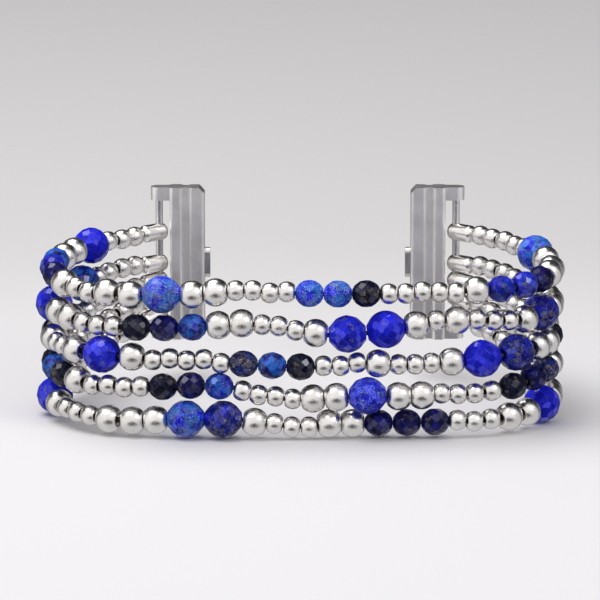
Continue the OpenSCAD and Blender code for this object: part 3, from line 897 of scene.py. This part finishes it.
# %% Thread every piece's beads
BODY_OF = {node: body for body, members in frame["record"]["behaviour"]["bodies"].items()
           for node in members}
STRINGING = {  # finish, slot, play across and along the cord in millimetres, tilt
    "steel": (BEAD_STEEL, "bead_steel", (0.01, 0.01, 0.2), 0.035),
    "stone": (STONE, "blue_stone", (0, 0, 0.02), 0.02),
}
SMALLEST, FIRST_SEED = 0.985, 3
FARTHEST_LOT = 60
rng = np.random.default_rng(7)


def points_mesh(name, found):
    """Loose points with each bead's direction, length, lot and look on them."""
    mesh = bpy.data.meshes.new(name)
    mesh.from_pydata([tuple(b["at"]) for b in found], [], [])
    looks = [b.get("look", (rng.uniform(0, 1), 0, 0, 0)) for b in found]
    vectors = {"way": [b["way"] for b in found],
               "lot": [rng.uniform(0, FARTHEST_LOT, 3) for _ in found]}
    numbers = {"long": [b["long"] for b in found]}
    numbers.update(zip(("tone", "teal", "pale", "gold"), zip(*looks)))
    for key, rows in vectors.items():
        layer = mesh.attributes.new(key, "FLOAT_VECTOR", "POINT")
        layer.data.foreach_set("vector", np.array(rows, float).reshape(-1))
    for key, rows in numbers.items():
        layer = mesh.attributes.new(key, "FLOAT", "POINT")
        layer.data.foreach_set("value", list(map(float, rows)))
    return mesh


def dress(piece, node, slot):
    """Puts a piece in the place of a measured one, on the body that one moves with."""
    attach(piece, BODY_OF[node])
    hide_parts(node)


for order, (node, found) in enumerate(beads.items()):
    kind = found[0]["kind"]
    finish, slot, play, tilt = STRINGING[kind.split("_")[1]]
    name = "dressed_" + node
    piece = grow(name, points_mesh(name, found), THREADING, THREADING_IDS, {
        "Shapes": workshop[kind], "Finish": finish, "Seed": FIRST_SEED + order,
        "Smallest": SMALLEST, "Play": [v * MM for v in play], "Tilt": [tilt] * 3})
    dress(piece, node, slot)
print("Threaded", len(beads), "groups of beads")

# %% [markdown]
# The cords
#
# Each cord is a round elastic thread. Its course is already known, as points from bead to bead, so
# a second tree turns those points into a curve and sweeps a circle along it. Swept curves stay
# round and even where a modelled tube would kink.

# %% Sweep the cords
CORD_RADIUS, CORD_SIDES = 0.345 * MM, 14


def sweeping_tree():
    tree, ids, add, given = tree_with("Sweep a cord", {
        "Radius": "NodeSocketFloat", "Sides": "NodeSocketInt", "Finish": "NodeSocketMaterial"})
    line = add("GeometryNodeMeshToCurve", None, {"Mesh": given["Geometry"]})
    ring = add("GeometryNodeCurvePrimitiveCircle", {"mode": "RADIUS"},
               {"Resolution": given["Sides"], "Radius": given["Radius"]})
    tube = add("GeometryNodeCurveToMesh", None,
               {"Curve": line.outputs[0], "Profile Curve": ring.outputs[0], "Fill Caps": True})
    smooth = add("GeometryNodeSetShadeSmooth", None, {"Geometry": tube.outputs[0]})
    finish_tree(add, smooth.outputs[0], given["Finish"])
    return tree, ids


def polyline_mesh(name, lines):
    """A mesh with only the points and edges of some lines."""
    mesh = bpy.data.meshes.new(name)
    points = [tuple(point) for line in lines for point in line]
    edges, first = [], 0
    for line in lines:
        edges += [(first + i, first + i + 1) for i in range(len(line) - 1)]
        first += len(line)
    mesh.from_pydata(points, edges, [])
    return mesh


def sweep(name, lines, radius, sides, finish):
    return grow(name, polyline_mesh(name, lines), SWEEPING, SWEEPING_IDS,
                {"Radius": radius, "Sides": sides, "Finish": finish})


SWEEPING, SWEEPING_IDS = sweeping_tree()
for node in CORD_NODES:
    dress(sweep("dressed_" + node, courses[node], CORD_RADIUS, CORD_SIDES, CORD), node,
          "elastic_cord")
print("Swept", sum(len(lines) for lines in courses.values()), "lengths of cord")

# %% [markdown]
# The lugs
#
# A lug is one casting: an upright block, two ears that hold the bar, and a tongue that slides into
# its slot. Seen from above it has one outline over its whole height, so it is drawn once, pulled
# up, and then cut: the room for the links between the ears, the slanted corners of the tongue and
# the pocket of the latch. The cuts are Boolean modifiers. A Bevel modifier comes last, because a
# polished casting has no knife edges, and the thin bright line along each edge is what makes it
# read as metal.

# %% The outline of a lug
# sizes are in millimetres, and these four places are measured from the bar
BLOCK, NECK, TONGUE, FACE = -1.6, -3.6, -4.5, -6.9
EAR_RADIUS = 1.25
CORNER = 0.6
BLOCK_SIDE, NECK_SIDE = 1.2, 1.1  # from the middle to where a round corner starts


def arc(x, y, radius, start, stop, steps=6):
    """Points on an arc, its angles in degrees."""
    return [(x + radius * math.cos(a), y + radius * math.sin(a))
            for a in np.radians(np.linspace(start, stop, steps + 1))]


half = (arc(0, 0, EAR_RADIUS, 0, 90, 12)
        + arc(BLOCK - CORNER, BLOCK_SIDE, CORNER, 5, 90)
        + arc(NECK + CORNER, BLOCK_SIDE, CORNER, 90, 180)
        + [(NECK, NECK_SIDE), (TONGUE, NECK_SIDE)]
        + arc(TONGUE - CORNER, NECK_SIDE, CORNER, 0, 90)[1:]
        + arc(FACE + CORNER, NECK_SIDE, CORNER, 90, 180))
LUG_OUTLINE = half + [(x, -y) for x, y in reversed(half[1:])]
print("The outline of a lug has", len(LUG_OUTLINE), "corners")

# %% Shapes that cut
LUG_LENGTH, EAR = 23.4, 2.0
ROOM_DEEPER = 0.05  # past the face of the block, so that no sliver is left on it
SLANT = 0.85
POCKET_LENGTH, POCKET_WIDTH, POCKET_DEPTH = 5.5, 2.4, 1.7
PAST, WIDE = 1, 3  # cutters stand out this far, and reach this far to each side


def prism(outline, low, high, place):
    """A closed block over an outline, from low to high, its corners put in place one by one."""
    shape = bmesh.new()
    rings = [[shape.verts.new(Vector(place(x, y, z)) * MM) for x, y in outline]
             for z in (low, high)]
    shape.faces.new(rings[0])
    shape.faces.new(rings[1])
    for i in range(len(outline)):
        shape.faces.new((rings[0][i - 1], rings[0][i], rings[1][i], rings[1][i - 1]))
    return add_object("prism", closed_mesh(shape, "prism"))


def box_outline(x0, x1, y0, y1):
    return [(x0, y0), (x1, y0), (x1, y1), (x0, y1)]


def pill_outline(length, thickness):
    """A slot's outline: long in its first direction, with round ends."""
    r, run = thickness / 2, (length - thickness) / 2
    return arc(run, 0, r, -90, 90, 10) + arc(-run, 0, r, 90, 270, 10)


def lug_cutters(upright):
    """The cutters for the links' room, the pocket and the tongue's two slanted corners."""
    # an outline is pushed through the lug from side to side, or in from the tongue's face
    def across(x, z, y):
        return upright(x, y, z)

    def inward(z, y, x):
        return upright(x, y, z)

    half_length = LUG_LENGTH / 2
    room = half_length - EAR
    cutters = [prism(box_outline(BLOCK - ROOM_DEEPER, WIDE, -room, room), -WIDE, WIDE, across),
               prism(pill_outline(POCKET_LENGTH, POCKET_WIDTH), FACE - PAST, FACE + POCKET_DEPTH,
                     inward)]
    for end in (-1, 1):
        outside, tip = end * (half_length + PAST), end * half_length
        shoulder = end * (half_length - SLANT)
        slanted = [(FACE - PAST, outside), (FACE + SLANT, outside), (FACE + SLANT, tip),
                   (FACE, shoulder), (FACE - PAST, shoulder)]
        cutters.append(prism(slanted, -WIDE, WIDE, across))
    return cutters


print("A lug is", LUG_LENGTH, "mm high, with ears of", EAR, "mm")

# %% Cut the lugs and break their edges
LUG_MIDDLE = 17.5
BAR_AT = {"left": (-21.6, 21.25), "right": (23.4, 21.25)}
OUTWARDS = {"left": -1, "right": 1}
ALMOST_FLAT, SHARP = math.radians(0.5), math.radians(32)
BROKEN_WIDTH, BROKEN_STEPS = 0.13 * MM, 2


def carve(block, cutters):
    """The mesh that is left of a block when every cutter is taken from it."""
    for cutter in cutters:
        cut = block.modifiers.new("cut", "BOOLEAN")
        cut.operation, cut.object, cut.solver = "DIFFERENCE", cutter, "EXACT"
    mesh = plain_mesh(block)
    for used in cutters + [block]:
        bpy.data.objects.remove(used)
    shape = bmesh.new()
    shape.from_mesh(mesh)
    bmesh.ops.remove_doubles(shape, verts=shape.verts, dist=SAME_POINT)
    bmesh.ops.dissolve_limit(shape, angle_limit=ALMOST_FLAT, verts=shape.verts,
                             edges=shape.edges)
    shape.to_mesh(mesh)
    shape.free()
    return mesh


def make_lug(side):
    bar_x, bar_y = BAR_AT[side]

    def upright(x, y, z):
        return bar_x + OUTWARDS[side] * x, bar_y + OUTWARDS[side] * y, LUG_MIDDLE + z

    block = prism(LUG_OUTLINE, -LUG_LENGTH / 2, LUG_LENGTH / 2, upright)
    mesh = carve(block, lug_cutters(upright))
    mesh.materials.append(metals["lug_steel"])
    shade_smooth(mesh)
    piece = add_object(f"dressed_{side}_lug", mesh)
    bevel = piece.modifiers.new("edges", "BEVEL")
    bevel.width, bevel.segments = BROKEN_WIDTH, BROKEN_STEPS
    bevel.limit_method, bevel.angle_limit = "ANGLE", SHARP
    bevel.harden_normals = True
    return piece


for side in ("left", "right"):
    lug = make_lug(side)
    dress(lug, f"{side}_lug", "lug_steel")
    print(lug.name, len(lug.data.polygons), "faces before its edges are broken")

# %% [markdown]
# Links, bars and latches
#
# The links are short barrels that were cast and polished, the bars are drawn rod, and the plunger
# and its retainer are stamped. Their measured shapes are right, so only their finish is made here.

# %% Dress the other measured pieces
METAL_OF = {"_end_link_": "link_steel", "_bar": "bar_steel", "_latch_plunger": "latch_steel",
            "_latch_retainer": "latch_steel"}
for part, metal in METAL_OF.items():
    found = [node for node in frame["nodes"] if part in node]
    for node in found:
        frame["nodes"][node].material_slots[0].material = metals[metal]
    print(len(found), "pieces in", metal)

# %% [markdown]
# The latch springs
#
# Behind each plunger is a coil of thin wire. It is hidden, but it is a real piece, and a coil is a
# curve by rule: a spiral with a circle swept along it. When the plunger is pressed, the coil
# flattens towards its closed end.

# %% Wind the springs
WIRE_RADIUS, WIRE_SIDES = 0.1 * MM, 10
CURLS, CURL_POINTS = 3, 20
for side in ("left", "right"):
    node = f"{side}_latch_spring"
    low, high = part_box(node)
    centre, length = (low + high) / 2, high.x - low.x
    coil, run = (high.y - low.y) / 2 - WIRE_RADIUS, length - 2 * WIRE_RADIUS
    line = []
    for i in range(CURLS * CURL_POINTS + 1):
        turn = 2 * i * math.pi / CURL_POINTS
        line.append((centre.x + OUTWARDS[side] * (i / (CURLS * CURL_POINTS) - 0.5) * run,
                     centre.y + OUTWARDS[side] * coil * math.cos(turn),
                     centre.z + coil * math.sin(turn)))
    piece = sweep("dressed_" + node, [line], WIRE_RADIUS, WIRE_SIDES, metals["spring_wire"])
    dress(piece, node, "spring_wire")
    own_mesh(piece)
    print(piece.name, "rides on", BODY_OF[node], "and has", len(piece.data.polygons), "faces")

# %% [markdown]
# The studio
#
# Metal shows nothing but its surroundings, so the room shapes the steel. Soft light fills the
# front, the sides and the ceiling, brightest up on the left, and the wall behind is dim. That gives
# every bead a pale face and a thin dark rim. The wall's low corners are paler, so the rim fades at
# the lower left and right. The grey smudge under the middle of each bead is the photographer's side
# of the table, a dark spot low in front. Every bead shows it at the same place whatever its height,
# so it belongs to the room and not to the floor, and the floor stays out of the mirrors. Plain
# surfaces get an even, milder light. The larger of two soft lamps hangs high and a little behind
# the band, so the stones are pale on top and deep below, and their shadow falls towards the camera.
# The floor is a sheet of paper with painted shade on it: greyer just behind the band, and a little
# greyer far off than in front.

# %% The floor
PAPER, PAPER_PAINTED_SHADE_BEHIND, PAPER_PAINTED_SHADE_FAR = (0.765, 0.755, 0.775), (0.62, 0.61, 0.615), (0.74, 0.728, 0.733)
FLOOR_HALF, FLOOR_LEVEL = 3, -0.02 * MM


def make_paper():
    paper = Finish("floor", Specular_IOR_Level=0.2)
    back = Reading(paper, paper.node("ShaderNodeSeparateXYZ", values=[paper.place]).outputs["Y"])
    soft = paper.noise(0.004, 2)
    # painted shade: the paper is greyer just behind the band, and a little greyer far off than in
    # front
    shade = paper.blend(back.step(-20, 140), PAPER, PAPER_PAINTED_SHADE_BEHIND)
    shade = paper.blend(back.step(200, 800), shade, PAPER_PAINTED_SHADE_FAR)
    paper.set(Base_Color=shade, Roughness=0.7 + soft * 0.1)
    return paper.material


outline = box_outline(-FLOOR_HALF, FLOOR_HALF, -FLOOR_HALF, FLOOR_HALF)
sheet = bpy.data.meshes.new("floor")
sheet.from_pydata([(x, y, FLOOR_LEVEL) for x, y in outline], [], [(0, 1, 2, 3)])
sheet.materials.append(make_paper())
floor = add_object("floor", sheet)
floor.visible_glossy = floor.visible_diffuse = False
floor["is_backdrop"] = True
print("The floor is", 2 * FLOOR_HALF, "m wide")

# %% The room
LIGHT_FROM = Vector((-0.42, -0.5, 0.76)).normalized()
DIM, PALE, DARK = (0.66, 0.65, 0.665), (1.04, 1.03, 1.02), (0.02, 0.02, 0.025)
MILD_BELOW, MILD_ABOVE = (0.14, 0.138, 0.145), (0.7, 0.69, 0.682)
world = bpy.data.worlds.new("room")
bpy.context.scene.world = world
world.use_nodes = True
room = Bench(world.node_tree)
look = room.node("ShaderNodeTexCoord").outputs["Generated"]
x, y, z = (Reading(room, socket)
           for socket in room.node("ShaderNodeSeparateXYZ", values=[look]).outputs)
facing = Reading(room, room.vector("DOT_PRODUCT", look, tuple(LIGHT_FROM)).outputs["Value"])

# what the steel mirrors: the pale room, the dim wall behind and the spot low in front
mirrored = room.blend(facing.step(-0.5, 0.85), DIM, PALE)
corners = y.step(0.5, 0.76) * (x * x * 1.2 - z * 0.6).step(0.1, 0.6) * 0.85
behind = (y + z * 0.45).step(0.12, 0.48) * (1 - corners)
mirrored = room.blend(behind, mirrored, DARK)
across, down = x / (0.62 - z), (z + 0.25) / 0.45
smudge = (1 - (across * across + down * down).step(0.0, 0.9)) * (1 - y.step(-0.7, -0.5))
mirrored = room.blend(smudge, mirrored, DARK)

# what plain surfaces get
plain = room.blend(facing.step(-0.6, 1.0), MILD_BELOW, MILD_ABOVE)
path = room.node("ShaderNodeLightPath").outputs
seen = (Reading(room, path["Is Camera Ray"]) + Reading(room, path["Is Glossy Ray"])).clamp()
air = room.node("ShaderNodeBackground", values=[room.blend(seen, plain, mirrored)])
room.node("ShaderNodeOutputWorld", values=[air.outputs[0]])
print("The light of the room has", len(world.node_tree.nodes), "nodes")

# %% The lamps
LAMPS = {  # place and size in millimetres, power in watts
    "key": ((-170, 40, 490), (560, 400), 2.1),
    "fill": ((300, -260, 330), (150, 150), 0.4),
}
LAMPS_AIM = Vector((0, 0, 10))
for name, (place, size, power) in LAMPS.items():
    lamp = bpy.data.lights.new(name, "AREA")
    lamp.shape, lamp.size, lamp.size_y = "RECTANGLE", size[0] * MM, size[1] * MM
    lamp.energy = power
    hung = add_object(name, lamp)
    hung.location = Vector(place) * MM
    hung.rotation_euler = (LAMPS_AIM - Vector(place)).to_track_quat("-Z", "Y").to_euler()
bpy.context.scene.view_settings.view_transform = "Standard"
print("Hung", len(LAMPS), "lamps")

# %% Print the size, and finish
low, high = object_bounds()
print("Dressed size", [round(v / MM, 2) for v in high - low], "mm")
